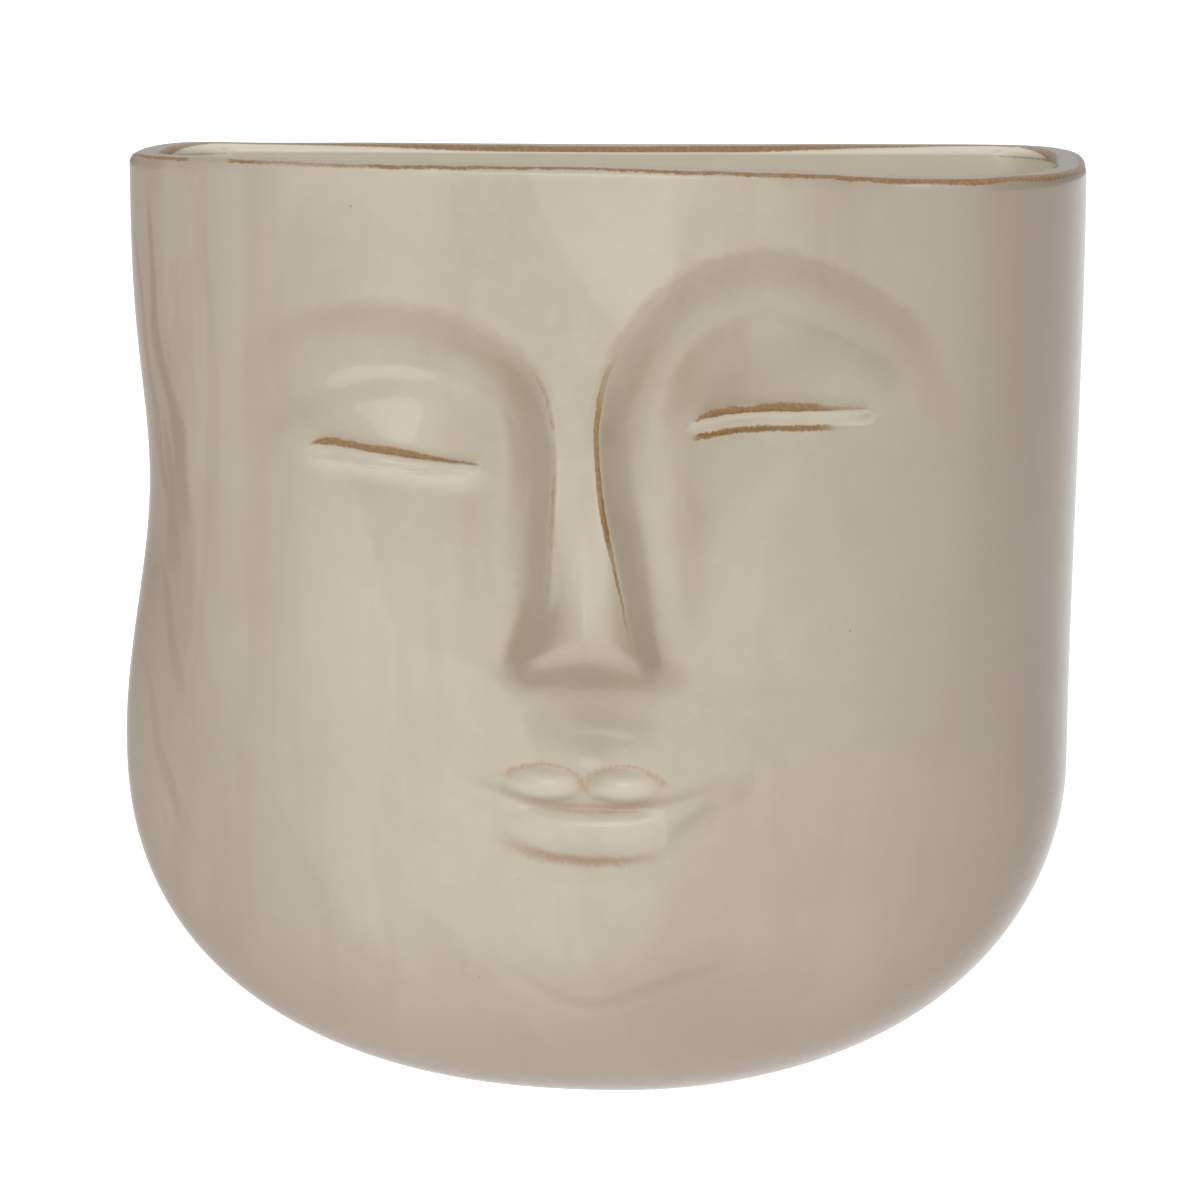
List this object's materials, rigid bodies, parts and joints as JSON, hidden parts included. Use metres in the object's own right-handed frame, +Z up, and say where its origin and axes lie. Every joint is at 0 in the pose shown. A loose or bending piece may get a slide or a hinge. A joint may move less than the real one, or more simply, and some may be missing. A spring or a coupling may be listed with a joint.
{
  "type": "wall planter",
  "caption": "Wall-hung half-round plant pocket with a calm stylised face in relief, open at the top, flat at the back with keyhole hanging slots.",
  "frame": {"origin": "on the back face, midway between the two keyhole hanging slots, at the height where their entries and necks meet", "axes": "+Z up as it hangs, +Y out of the back into the wall, so the face looks along -Y, and +X to the right of someone facing it"},
  "size_m": [0.2464, 0.11, 0.2435],
  "materials": {
    "cream_glaze": "opaque glossy cream glaze on stoneware",
    "cream_back_glaze": "opaque satin cream glaze on stoneware",
    "clear_rubber": "matt translucent"
  },
  "bodies": {
    "root": {"front_shell": "cream_glaze", "back_wall": "cream_back_glaze", "wall_bumper_upper_left": "clear_rubber", "wall_bumper_upper_right": "clear_rubber", "wall_bumper_lower_left": "clear_rubber", "wall_bumper_lower_right": "clear_rubber"}
  },
  "joints": []
}
